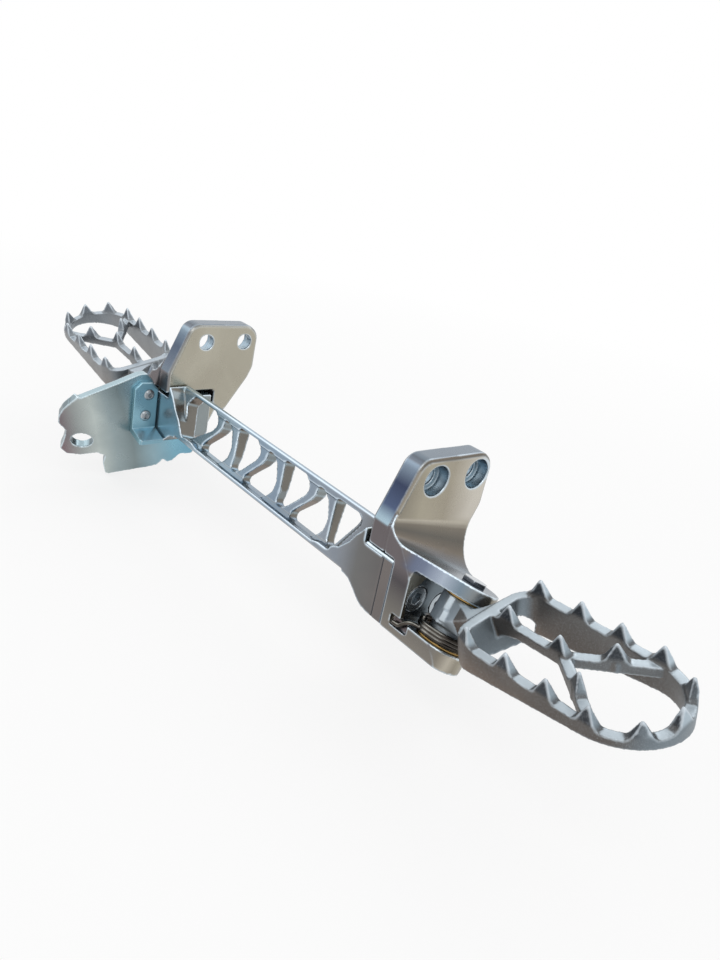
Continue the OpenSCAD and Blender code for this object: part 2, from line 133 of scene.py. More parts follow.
def ramp(value: np.ndarray, low: float, high: float) -> np.ndarray:
    """Smooth step: 0 below low, 1 above high, 3t^2 - 2t^3 between them.

    Args:
        value: The values to map.
        low: Where the step starts.
        high: Where the step ends.

    Returns:
        The mapped values, from 0 to 1.
    """
    t = np.clip((value - low) / (high - low), 0, 1)
    return t * t * (3 - 2 * t)


def blend(one: np.ndarray, other: np.ndarray, share: np.ndarray) -> np.ndarray:
    """Mixes two colours or colour arrays by a share for each row."""
    return one * (1 - share[:, None]) + other * share[:, None]


class Sheet:
    """A short way to write a shader: adds nodes and joins their sockets."""

    def __init__(self, tree: bpy.types.NodeTree) -> None:
        """Starts on an empty node tree."""
        self.tree = tree

    def add(self, kind: str, settings: dict | None = None, **inputs: object) -> bpy.types.Node:
        """Adds a node and fills its inputs.

        Args:
            kind: The node's type, without the ShaderNode prefix.
            settings: Properties of the node itself, such as its operation.
            inputs: Values or sockets by input name, with _ for a space, or by _0, _1.

        Returns:
            The new node.
        """
        node = self.tree.nodes.new(kind if kind.startswith("Node") else "ShaderNode" + kind)
        for name, value in (settings or {}).items():
            setattr(node, name, value)
        for name, value in inputs.items():
            key = int(name[1:]) if name[1:].isdigit() else name.replace("_", " ")
            self.feed(node.inputs[key], value)
        return node

    def feed(self, socket: bpy.types.NodeSocket, value: object) -> None:
        """Joins a socket to another one, or sets its value.

        Args:
            socket: The input to fill.
            value: The socket that feeds it, or a plain value.
        """
        if isinstance(value, bpy.types.NodeSocket):
            self.tree.links.new(value, socket)
        elif isinstance(value, tuple) and socket.type == "RGBA":
            socket.default_value = (*value, 1.0)
        else:
            socket.default_value = value

    def math(self, operation: str, one: object, other: object = 0.0) -> bpy.types.NodeSocket:
        """Returns the result of a Math node."""
        return self.add("Math", {"operation": operation}, _0=one, _1=other).outputs[0]

    def mix(self, share: object, one: object, other: object,
            way: str = "MIX") -> bpy.types.NodeSocket:
        """Mixes two colours.

        Args:
            share: How much of the second colour is laid over the first.
            one: The first colour.
            other: The second colour.
            way: The Mix node's blend mode.

        Returns:
            The mixed colour.
        """
        node = self.add("Mix", {"data_type": "RGBA", "blend_type": way})
        for index, value in ((0, share), (6, one), (7, other)):
            self.feed(node.inputs[index], value)
        return node.outputs[2]

    def span(self, value: object, low: float, high: float, start: object,
             end: object) -> bpy.types.NodeSocket:
        """Returns value mapped from low..high to start..end, held at both ends."""
        return self.add("MapRange", None, Value=value, From_Min=low, From_Max=high,
                        To_Min=start, To_Max=end).outputs[0]


@dataclass(frozen=True)
class Socket:
    """One input or output of a shared effect."""

    name: str
    kind: str
    value: object = None


class Effects:
    """Shader groups that several finishes share, each built once."""

    built: dict[str, bpy.types.NodeTree] = {}

    @classmethod
    def group(cls, name: str, takes: list[Socket], gives: list[Socket],
              fill: Callable[[Sheet, bpy.types.Node, bpy.types.Node], None]) -> bpy.types.NodeTree:
        """Builds a group at its first use.

        Args:
            name: The group's name.
            takes: Its inputs.
            gives: Its outputs.
            fill: Draws the inside between the group's own input and output nodes.

        Returns:
            The group's node tree.
        """
        if name not in cls.built:
            tree = bpy.data.node_groups.new(name, "ShaderNodeTree")
            for socket, way in [(s, "INPUT") for s in takes] + [(s, "OUTPUT") for s in gives]:
                made = tree.interface.new_socket(socket.name, in_out=way, socket_type=socket.kind)
                if socket.value is not None:
                    made.default_value = socket.value
            sheet = Sheet(tree)
            fill(sheet, sheet.add("NodeGroupInput"), sheet.add("NodeGroupOutput"))
            cls.built[name] = tree
        return cls.built[name]

    @classmethod
    def edge_wear_and_highlight(cls) -> bpy.types.NodeTree:
        """Masks edges for wear and a painted highlight: where a rounded normal leaves the true one.

        Returns:
            The group, which gives the mask and the rounded normal.
        """

        def fill(sheet: Sheet, inlet: bpy.types.Node, outlet: bpy.types.Node) -> None:
            """Compares the normal rounded over a radius with the surface's own.

            Args:
                sheet: The group's sheet.
                inlet: The node of the group's inputs.
                outlet: The node of the group's outputs.
            """
            soft = sheet.add("Bevel", {"samples": 6}, Radius=inlet.outputs["Radius"])
            own = sheet.add("NewGeometry").outputs["Normal"]
            near = sheet.add("VectorMath", {"operation": "DOT_PRODUCT"}, _0=soft.outputs[0], _1=own)
            bent = sheet.math("SUBTRACT", 1.0, near.outputs["Value"])
            place = sheet.add("TexCoord").outputs["Object"]
            chips = sheet.add("TexNoise", None, Vector=place, Scale=420.0, Detail=4.0)
            broken = sheet.math("MULTIPLY", bent, sheet.span(chips.outputs[0], 0.3, 0.7, 0.6, 1.4))
            sheet.feed(outlet.inputs["Mask"], sheet.span(broken, 0.015, 0.16, 0.0, 1.0))
            sheet.feed(outlet.inputs["Normal"], soft.outputs[0])

        takes = [Socket("Radius", "NodeSocketFloat", 0.0005)]
        gives = [Socket("Mask", "NodeSocketFloat"), Socket("Normal", "NodeSocketVector")]
        return cls.group("edge_wear_and_highlight", takes, gives, fill)

    @classmethod
    def tool_marks(cls) -> bpy.types.NodeTree:
        """Draws the fine lines that a cutter leaves, with slow patches of shine.

        Returns:
            The group, which gives the height of the lines and the patches.
        """

        def fill(sheet: Sheet, inlet: bpy.types.Node, outlet: bpy.types.Node) -> None:
            """Stretches noise along the lines, adds grit, and draws a broader noise.

            Args:
                sheet: The group's sheet.
                inlet: The node of the group's inputs.
                outlet: The node of the group's outputs.
            """
            place = sheet.add("TexCoord").outputs["Object"]
            turned = sheet.add("Mapping", None, Vector=place, Rotation=inlet.outputs["Turn"])
            drawn = sheet.add("VectorMath", {"operation": "MULTIPLY"}, _0=turned.outputs[0],
                              _1=(1.0, 0.02, 0.02))
            lines = sheet.add("TexNoise", None, Vector=drawn.outputs[0],
                              Scale=inlet.outputs["Lines"], Detail=3.0)
            patches = sheet.add("TexNoise", None, Vector=place, Scale=38.0, Detail=4.0,
                                Roughness=0.6)
            grit = sheet.add("TexNoise", None, Vector=place, Scale=1500.0, Detail=2.0)
            rough = sheet.math("MULTIPLY", grit.outputs[0], 0.4)
            sheet.feed(outlet.inputs["Height"], sheet.math("ADD", lines.outputs[0], rough))
            sheet.feed(outlet.inputs["Patches"], patches.outputs[0])

        takes = [Socket("Lines", "NodeSocketFloat", 900.0),
                 Socket("Turn", "NodeSocketVector", (0.0, 0.0, 0.0))]
        gives = [Socket("Height", "NodeSocketFloat"), Socket("Patches", "NodeSocketFloat")]
        return cls.group("tool_marks", takes, gives, fill)

    @classmethod
    def blast_grain(cls) -> bpy.types.NodeTree:
        """Draws the fine pitted grain of a blasted or cast skin.

        Returns:
            The group, which gives the height of the grain and a mask for painted glints.
        """

        def fill(sheet: Sheet, inlet: bpy.types.Node, outlet: bpy.types.Node) -> None:
            """Adds cell pits to noise at the given scale.

            Args:
                sheet: The group's sheet.
                inlet: The node of the group's inputs.
                outlet: The node of the group's outputs.
            """
            place = sheet.add("TexCoord").outputs["Object"]
            cells = sheet.add("TexVoronoi", None, Vector=place, Scale=inlet.outputs["Scale"])
            noise = sheet.add("TexNoise", None, Vector=place, Scale=inlet.outputs["Scale"],
                              Detail=3.0)
            height = sheet.math("ADD", cells.outputs["Distance"], noise.outputs[0])
            sheet.feed(outlet.inputs["Height"], height)
            sheet.feed(outlet.inputs["Sparkle"], sheet.span(noise.outputs[0], 0.52, 0.68, 0.0, 1.0))

        takes = [Socket("Scale", "NodeSocketFloat", 1400.0)]
        gives = [Socket("Height", "NodeSocketFloat"), Socket("Sparkle", "NodeSocketFloat")]
        return cls.group("blast_grain", takes, gives, fill)

    @classmethod
    def smudges(cls) -> bpy.types.NodeTree:
        """Lets a colour drift slowly towards a darker one.

        Returns:
            The group, which gives the drifting colour.
        """

        def fill(sheet: Sheet, inlet: bpy.types.Node, outlet: bpy.types.Node) -> None:
            """Mixes the two colours by a broad, bent noise.

            Args:
                sheet: The group's sheet.
                inlet: The node of the group's inputs.
                outlet: The node of the group's outputs.
            """
            place = sheet.add("TexCoord").outputs["Object"]
            broad = sheet.add("TexNoise", None, Vector=place, Scale=inlet.outputs["Scale"],
                              Detail=5.0, Distortion=0.6)
            share = sheet.span(broad.outputs[0], 0.3, 0.7, 0.0, inlet.outputs["Amount"])
            dark = sheet.mix(share, inlet.outputs["Colour"], inlet.outputs["Darker"])
            sheet.feed(outlet.inputs["Colour"], dark)

        takes = [Socket("Colour", "NodeSocketColor"), Socket("Darker", "NodeSocketColor"),
                 Socket("Scale", "NodeSocketFloat", 30.0), Socket("Amount", "NodeSocketFloat", 0.5)]
        return cls.group("smudges", takes, [Socket("Colour", "NodeSocketColor")], fill)


@dataclass(frozen=True)
class Finish:
    """A metal finish: the tone painted on the mesh, under marks, edge wear with a painted
    highlight, and grain.

    The tone attribute gives each face's colour together with painted reflections and painted shade
    by the way the face looks; it drifts a little, turns bright along edges (partly wear, partly a
    painted highlight on the rounded edge), takes painted glints where the skin is blasted, and
    takes the relief of the tool or the blasting.
    """

    name: str
    shade: tuple[float, float, float]
    bright: tuple[float, float, float]
    metallic: float = 0.9
    roughness: float = 0.3
    wear_and_highlight_radius: float = 0.6 * MM
    wear_and_highlight_amount: float = 0.8
    drift: float = 0.5
    drift_scale: float = 30.0
    marks: float = 0.0
    lines: float = 900.0
    turn: tuple[float, float, float] = (0.0, 0.0, 0.0)
    grain: float = 0.0
    grain_scale: float = 1400.0

    def material(self) -> bpy.types.Material:
        """Builds the finish at its first use.

        Returns:
            Its material.
        """
        found = bpy.data.materials.get(self.name)
        if found:
            return found
        made = bpy.data.materials.new(self.name)
        made.use_nodes = True
        made.node_tree.nodes.clear()
        sheet = Sheet(made.node_tree)
        # The tone attribute holds each face's colour with painted reflections and painted shade by
        # the way it faces.
        tone = sheet.add("Attribute", {"attribute_name": "tone"}).outputs["Color"]
        smudge = sheet.add("Group", {"node_tree": Effects.smudges()}, Colour=tone,
                           Scale=self.drift_scale, Amount=self.drift)
        sheet.feed(smudge.inputs["Darker"], sheet.mix(1.0, tone, self.shade, "MULTIPLY"))
        # Edges turn towards the bright colour: partly wear, partly a painted highlight on the
        # rounded edge.
        wear_and_highlight = sheet.add("Group", {"node_tree": Effects.edge_wear_and_highlight()}, Radius=self.wear_and_highlight_radius)
        wear_and_highlight_mask = sheet.math("MULTIPLY", wear_and_highlight.outputs["Mask"], self.wear_and_highlight_amount)
        colour = sheet.mix(wear_and_highlight_mask, smudge.outputs["Colour"], self.bright)
        marks = sheet.add("Group", {"node_tree": Effects.tool_marks()}, Lines=self.lines,
                          Turn=self.turn)
        rough = sheet.span(marks.outputs["Patches"], 0.3, 0.7, self.roughness * 0.82,
                           self.roughness * 1.2)
        normal = wear_and_highlight.outputs["Normal"]
        if self.marks:
            normal = sheet.add("Bump", None, Strength=self.marks, Distance=0.00002,
                               Height=marks.outputs["Height"], Normal=normal).outputs[0]
        if self.grain:
            pits = sheet.add("Group", {"node_tree": Effects.blast_grain()}, Scale=self.grain_scale)
            normal = sheet.add("Bump", None, Strength=self.grain, Distance=0.0001,
                               Height=pits.outputs["Height"], Normal=normal).outputs[0]
            # Painted glints: the grain's sparkle mask mixes in the bright colour.
            glint = sheet.math("MULTIPLY", pits.outputs["Sparkle"], 0.18)
            colour = sheet.mix(glint, colour, self.bright)
        shader = sheet.add("BsdfPrincipled", None, Base_Color=colour, Roughness=rough,
                           Normal=normal, Metallic=self.metallic)
        sheet.add("OutputMaterial", None, Surface=shader.outputs[0])
        return made


# The second colour of each finish is the painted highlight on its edges and glints.
MILLED = Finish("milled_aluminium", linear(196, 190, 186), linear(236, 244, 250), marks=0.3,
                roughness=0.27, drift=0.35, drift_scale=22.0)
TRUSS = Finish("truss_aluminium", linear(190, 200, 214), linear(244, 250, 255), marks=0.3,
               roughness=0.22, drift=0.4, lines=700.0, turn=(0.0, 0.0, 1.57),
               wear_and_highlight_radius=0.8 * MM)
BLASTED = Finish("cast_peg_skin", linear(176, 176, 178), linear(206, 214, 220), metallic=0.8,
                 roughness=0.4, grain=0.3, grain_scale=2600.0, drift=0.45,
                 wear_and_highlight_radius=0.9 * MM, wear_and_highlight_amount=0.5)
ZINC = Finish("zinc_plate", linear(186, 194, 198), linear(222, 240, 248), roughness=0.28,
              marks=0.25, drift=0.6, drift_scale=18.0, wear_and_highlight_radius=0.7 * MM)
SCREW_STEEL = Finish("bright_screw_steel", linear(140, 140, 146), linear(226, 230, 236),
                     roughness=0.2, grain=0.12, grain_scale=2600.0, wear_and_highlight_radius=0.4 * MM)
BRASS = Finish("washer_brass", linear(200, 176, 130), linear(246, 222, 158), roughness=0.25,
               marks=0.2, wear_and_highlight_radius=0.3 * MM)
WIRE = Finish("spring_wire", linear(120, 112, 106), linear(190, 186, 180), roughness=0.18,
              marks=0.15, wear_and_highlight_amount=0.2, drift=0.6, drift_scale=160.0)


class Measure(Enum):
    """What a gradient of tones follows."""

    PLACE = "place"
    NORMAL = "normal"


@dataclass(frozen=True)
class Gradient:
    """Tones at stops along a direction, followed by place in metres or by the normal."""

    along: tuple[float, float, float]
    stops: tuple[tuple[float, tuple[float, float, float]], ...]
    measure: Measure = Measure.PLACE

    def colours(self, normals: np.ndarray, places: np.ndarray) -> np.ndarray:
        """Reads the gradient at each row: linear between its stops, held beyond them.

        Args:
            normals: Unit normals, one row for each corner.
            places: Positions, one row for each corner.

        Returns:
            Linear colours, one row for each corner.
        """
        rows = places if self.measure is Measure.PLACE else normals
        at = rows @ (np.array(self.along) / np.linalg.norm(self.along))
        marks = [stop[0] for stop in self.stops]
        parts = [np.interp(at, marks, [stop[1][part] for stop in self.stops]) for part in range(3)]
        return np.stack(parts, axis=1)


@dataclass(frozen=True)
class Facing:
    """A tone or gradient for the faces that look one way, fading out at an angle: a painted
    reflection where it is light, painted shade where it is dark.
    """

    way: tuple[float, float, float]
    tone: "tuple[float, float, float] | Gradient"
    start: float = 0.4
    end: float = 0.9


@dataclass(frozen=True)
class Region:
    """A round stretch of a piece, such as a hole's wall, that has painted reflections and shade of
    its own.

    It reaches its radius from an axis, over a span along it. Its tones come in over the
    entry, from the span's start, and go out over the soft width just inside the radius.
    """

    centre: tuple[float, float, float]
    axis: tuple[float, float, float]
    radius: float
    span: tuple[float, float]
    tones: "Tones"
    entry: float = 0.0
    soft: float = 0.0

    def holds(self, places: np.ndarray) -> np.ndarray:
        """Measures how far the region's own tones hold.

        Args:
            places: Positions, one row for each corner.

        Returns:
            One share from 0 to 1 for each corner.
        """
        axis = np.array(self.axis) / np.linalg.norm(self.axis)
        off = places - np.array(self.centre)
        along = off @ axis
        away = np.linalg.norm(off - along[:, None] * axis, axis=1)
        inside = ((along > self.span[0]) & (along < self.span[1])).astype(float)
        if self.soft:
            inside = inside * (1 - ramp(away, self.radius - self.soft, self.radius))
        else:
            inside = inside * (away < self.radius)
        if self.entry:
            inside = inside * ramp(along, self.span[0], self.span[0] + self.entry)
        return inside


@dataclass(frozen=True)
class Tones:
    """The colours of a piece: painted reflections and painted shade by the way its faces
    look, laid over a ground tone, and a painted highlight on rounded outer edges.
    """

    ground: tuple[float, float, float]
    faces: tuple[Facing, ...] = ()
    # The rim tone is a painted highlight on rounded outer edges.
    rim: tuple[float, float, float] = (0.8, 0.86, 0.92)
    rim_highlight_share: float = 0.0
    regions: tuple[Region, ...] = ()

    def paint(self, normals: np.ndarray, places: np.ndarray, bulge: np.ndarray) -> np.ndarray:
        """Colours each corner with painted reflections and shade: every facing tone covers by how
        well the normal fits it.

        Rounded outer edges then take the rim tone, a painted highlight, by how much the surface
        bulges there.

        Args:
            normals: Unit normals, one row for each corner.
            places: Positions, one row for each corner.
            bulge: How sharply the surface bulges at each corner, from 0 to 1.

        Returns:
            Linear colours, one row for each corner.
        """
        colours = np.tile(np.array(self.ground), (len(normals), 1))
        for face in self.faces:
            way = np.array(face.way) / np.linalg.norm(face.way)
            plain = not isinstance(face.tone, Gradient)
            tone = np.array(face.tone) if plain else face.tone.colours(normals, places)
            colours = blend(colours, tone, ramp(normals @ way, face.start, face.end))
        # Painted highlight along rounded outer edges.
        colours = blend(colours, np.array(self.rim), bulge * self.rim_highlight_share)
        for region in self.regions:
            own = region.tones.paint(normals, places, bulge)
            colours = blend(colours, own, region.holds(places))
        return colours


def settle(piece: bpy.types.Object) -> None:
    """Applies the modifiers of a piece to its mesh.

    Args:
        piece: The piece.
    """
    graph = bpy.context.evaluated_depsgraph_get()
    made = bpy.data.meshes.new_from_object(piece.evaluated_get(graph))
    piece.modifiers.clear()
    piece.data = made
    made.name = piece.name


@dataclass(frozen=True)
class EdgeBreak:
    """How far a small piece's edges are rounded, and from which angle in degrees."""

    width: float
    segments: int = 2
    angle: float = 34.0

    def work(self, piece: bpy.types.Object) -> None:
        """Rounds the sharp edges of a piece and evens the shading of its flats.

        Args:
            piece: The piece.
        """
        piece.data.set_sharp_from_angle(angle=math.radians(self.angle))
        bevel = piece.modifiers.new("edges", "BEVEL")
        bevel.width = self.width
        bevel.segments = self.segments
        bevel.limit_method = "ANGLE"
        bevel.angle_limit = math.radians(self.angle)
        bevel.use_clamp_overlap = False
        bevel.miter_outer = "MITER_ARC"
        even = piece.modifiers.new("even", "WEIGHTED_NORMAL")
        even.keep_sharp = False
        even.weight = 90
        settle(piece)


@dataclass(frozen=True)
class CastSkin:
    """How a large piece is softened all over: the skin's grid and the rounds of relaxing."""

    grid: float
    rounds: int

    def work(self, piece: bpy.types.Object) -> None:
        """Lays an even skin over the piece and relaxes it, so that no edge stays sharp.

        Args:
            piece: The piece.
        """
        skin = piece.modifiers.new("skin", "REMESH")
        skin.mode = "VOXEL"
        skin.voxel_size = self.grid
        skin.use_smooth_shade = True
        relax = piece.modifiers.new("relax", "SMOOTH")
        relax.factor = 0.5
        relax.iterations = self.rounds
        settle(piece)


def merged_copy(node: bpy.types.Object, name: str, flat: bool) -> bpy.types.Object:
    """Copies a solid's mesh and merges its loose triangles.

    Where two triangles share one middle, as in an inner wall where halves meet, both go.

    Args:
        node: The frame's object of the solid.
        name: The name of the new piece.
        flat: Whether the triangles of a flat face become one face.

    Returns:
        The new piece, at the origin.
    """
    mesh = node.data.copy()
    mesh.name = name
    if "custom_normal" in mesh.attributes:
        mesh.attributes.remove(mesh.attributes["custom_normal"])
    work = bmesh.new()
    work.from_mesh(mesh)
    middles = np.round(read(mesh.polygons, "center", 3).astype(float) / MM, 3)
    _, which, counts = np.unique(middles, axis=0, return_inverse=True, return_counts=True)
    doubled = set(np.flatnonzero(counts[which.ravel()] > 1).tolist())
    inner = [face for face in work.faces if face.index in doubled]
    bmesh.ops.delete(work, geom=inner, context="FACES")
    bmesh.ops.remove_doubles(work, verts=work.verts, dist=0.004 * MM)
    if flat:
        bmesh.ops.dissolve_limit(work, angle_limit=math.radians(0.6), verts=work.verts,
                                 edges=work.edges)
    work.to_mesh(mesh)
    work.free()
    mesh.materials.clear()
    mesh.shade_smooth()
    piece = bpy.data.objects.new(name, mesh)
    bpy.context.scene.collection.objects.link(piece)
    return piece


def closed_piece(mesh: bpy.types.Mesh) -> bpy.types.Object:
    """Turns a closed mesh's faces outwards and puts it in the scene.

    Args:
        mesh: The mesh.

    Returns:
        The new piece, at the origin.
    """
    work = bmesh.new()
    work.from_mesh(mesh)
    bmesh.ops.recalc_face_normals(work, faces=work.faces)
    work.to_mesh(mesh)
    work.free()
    piece = bpy.data.objects.new(mesh.name, mesh)
    bpy.context.scene.collection.objects.link(piece)
    return piece


def bulges(mesh: bpy.types.Mesh, low: float, high: float) -> np.ndarray:
    """Measures how sharply a fine, even mesh bulges at each vertex.

    Each vertex is compared with the mean of its neighbours, along its normal and as a
    share of the mean edge length; the result is evened twice over the neighbours.

    Args:
        mesh: The mesh.
        low: The share that counts as flat.
        high: The share that counts as an edge.

    Returns:
        One value from 0 to 1 for each vertex.
    """
    count = len(mesh.vertices)
    places = read(mesh.vertices, "co", 3)
    ends = read(mesh.edges, "vertices", 2, np.int32)
    degree = np.maximum(np.bincount(ends.ravel(), minlength=count), 1)

    def around(values: np.ndarray) -> np.ndarray:
        """Returns the mean of the neighbours' values."""
        here, there = np.concatenate([ends, ends[:, ::-1]]).T
        return np.bincount(here, weights=values[there], minlength=count) / degree

    mean = np.stack([around(places[:, axis]) for axis in range(3)], axis=1)
    step = np.linalg.norm(places[ends[:, 0]] - places[ends[:, 1]], axis=1).mean()
    normals = read(mesh.vertex_normals, "vector", 3)
    lift = np.einsum("ij,ij->i", places - mean, normals) / step
    for _ in range(2):
        lift = (lift + around(lift)) / 2
    return ramp(lift, low, high)


def read(items: bpy.types.bpy_prop_collection, field: str, width: int,
         kind: type = np.float32) -> np.ndarray:
    """Reads one field of a mesh's items.

    Args:
        items: The mesh's vertices, edges, corners or faces.
        field: The field's name.
        width: How many numbers it holds.
        kind: Their type.

    Returns:
        An array with a row for each item, or a flat one if the width is 1.
    """
    values = np.empty(len(items) * width, kind)
    items.foreach_get(field, values)
    return values.reshape(-1, width) if width > 1 else values


def paint(piece: bpy.types.Object, tones: Tones) -> None:
    """Writes the tone attribute of a piece from where its corners are and how they look: its
    painted reflections, shade and edge highlights.

    Args:
        piece: The piece, with its final mesh.
        tones: Its colours.
    """
    mesh = piece.data
    corner = read(mesh.loops, "vertex_index", 1, np.int32)
    places = read(mesh.vertices, "co", 3).astype(float)[corner]
    bulge = bulges(mesh, 0.03, 0.12)[corner] if tones.rim_highlight_share else np.zeros(len(corner))
    normals = read(mesh.corner_normals, "vector", 3).astype(float)
    colours = np.ones((len(corner), 4), np.float32)
    colours[:, :3] = tones.paint(normals, places, bulge)
    tone = mesh.color_attributes.new("tone", "FLOAT_COLOR", "CORNER")
    tone.data.foreach_set("color", colours.ravel())


@dataclass
class Workshop:
    """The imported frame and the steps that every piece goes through."""

    frame: dict

    def dress(self, node: str, body: Part, slot: Slot, finish: Finish, tones: Tones,
              edges: EdgeBreak | CastSkin) -> bpy.types.Object:
        """Replaces a solid by its own shape with rounded edges and a full finish.

        Args:
            node: The solid's name.
            body: The body that it rides on.
            slot: The record's material slot.
            finish: Its finish.
            tones: Its colours.
            edges: How its edges are rounded.

        Returns:
            The new piece.
        """
        solid = self.frame["nodes"][node]
        piece = merged_copy(solid, node + "_finished", isinstance(edges, EdgeBreak))
        edges.work(piece)
        return self.adopt(piece, node, body, slot, finish, tones)

    def adopt(self, piece: bpy.types.Object, node: str, body: Part, slot: Slot, finish: Finish,
              tones: Tones) -> bpy.types.Object:
        """Paints a finished piece and lets it stand for a solid.

        Args:
            piece: The piece.
            node: The solid's name.
            body: The body that it rides on.
            slot: The record's material slot; not used.
            finish: Its finish.
            tones: Its colours.

        Returns:
            The piece.
        """
        paint(piece, tones)
        piece.data.materials.clear()
        piece.data.materials.append(finish.material())
        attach(piece, body.value)
        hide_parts(node)
        LOG.info("%s: %d faces", piece.name, len(piece.data.polygons))
        return piece


REAR, FRONT = (0.0, -1.0, 0.0), (0.0, 1.0, 0.0)
UP, DOWN = (0.0, 0.0, 1.0), (0.0, 0.0, -1.0)
RIGHTWARD = (1.0, 0.0, 0.0)
PEG_UP = (-0.098, -0.246, 0.964)
PIN_AXIS = (0.0, 0.4226, 0.9063)
# Millimetres: the pin's middle at the right end, and what x and its mirror image add up to.
PIVOT = (49.5, -27.0, -69.0)
MIRROR_SUM = -211.0
# Painted highlight colour for rounded outer edges.
RIM_HIGHLIGHT = linear(222, 236, 246)


class Side(str, Enum):
    """The two ends of the bar, mirrored about the plane halfway between the brackets."""

    RIGHT = "right"
    LEFT = "left"

    def way(self, x: float, y: float, z: float) -> tuple[float, float, float]:
        """Returns a direction given for the right end, mirrored for the left end."""
        return (x if self is Side.RIGHT else -x, y, z)

    def place(self, x: float, y: float, z: float) -> tuple[float, float, float]:
        """Returns a place in millimetres given for the right end, as metres at this end."""
        return ((x if self is Side.RIGHT else MIRROR_SUM - x) * MM, y * MM, z * MM)


def metres(values: tuple[float, ...]) -> tuple[float, ...]:
    """Returns lengths in millimetres as metres."""
    return tuple(value * MM for value in values)


def steps(along: tuple[float, float, float],
          *stops: tuple[float, tuple[int, int, int]]) -> Gradient:
    """Makes a gradient by place from stops in millimetres and screen colours."""
    return Gradient(along, tuple((at * MM, linear(*colour)) for at, colour in stops))


def turning(along: tuple[float, float, float],
            *stops: tuple[float, tuple[int, int, int]]) -> Gradient:
    """Makes a gradient by the normal's share along a direction, from screen colours."""
    return Gradient(along, tuple((at, linear(*colour)) for at, colour in stops), Measure.NORMAL)


